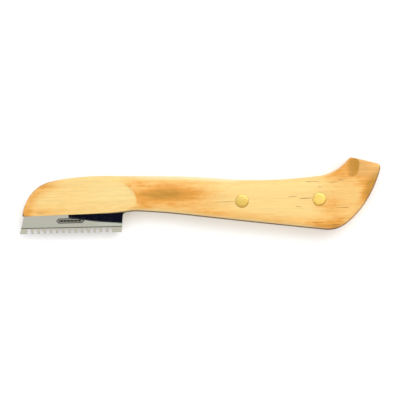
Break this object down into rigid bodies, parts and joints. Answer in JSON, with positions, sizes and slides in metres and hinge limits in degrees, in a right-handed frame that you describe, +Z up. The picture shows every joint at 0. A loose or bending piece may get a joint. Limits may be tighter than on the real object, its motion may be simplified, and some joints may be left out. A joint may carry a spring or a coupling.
{
  "type": "dog coat-stripping knife",
  "caption": "Coat-stripping knife: hook-ended wooden grip, toothed steel blade on a long tang held in a saw kerf, and flush brass rivets. For pulling loose undercoat from a dog by hand.",
  "frame": {"origin": "on the lower cheek, midway between the two rivets", "axes": "+X from the blade to the butt, along the grip; +Y from the teeth to the spine; +Z up through the handle's thickness, out of the upper cheek"},
  "size_m": [0.1741, 0.0346, 0.013],
  "materials": {
    "handle_wood": "oiled pale hardwood, fine straight grain along the handle",
    "blade_steel": "polished faces, satin ground teeth",
    "rivet_brass": "slightly crowned heads, flush with the wood"
  },
  "bodies": {
    "root": {"handle": "handle_wood", "blade": "blade_steel", "front_rivet_post": "rivet_brass", "front_rivet_sleeve": "rivet_brass", "rear_rivet_post": "rivet_brass", "rear_rivet_sleeve": "rivet_brass"}
  },
  "joints": []
}
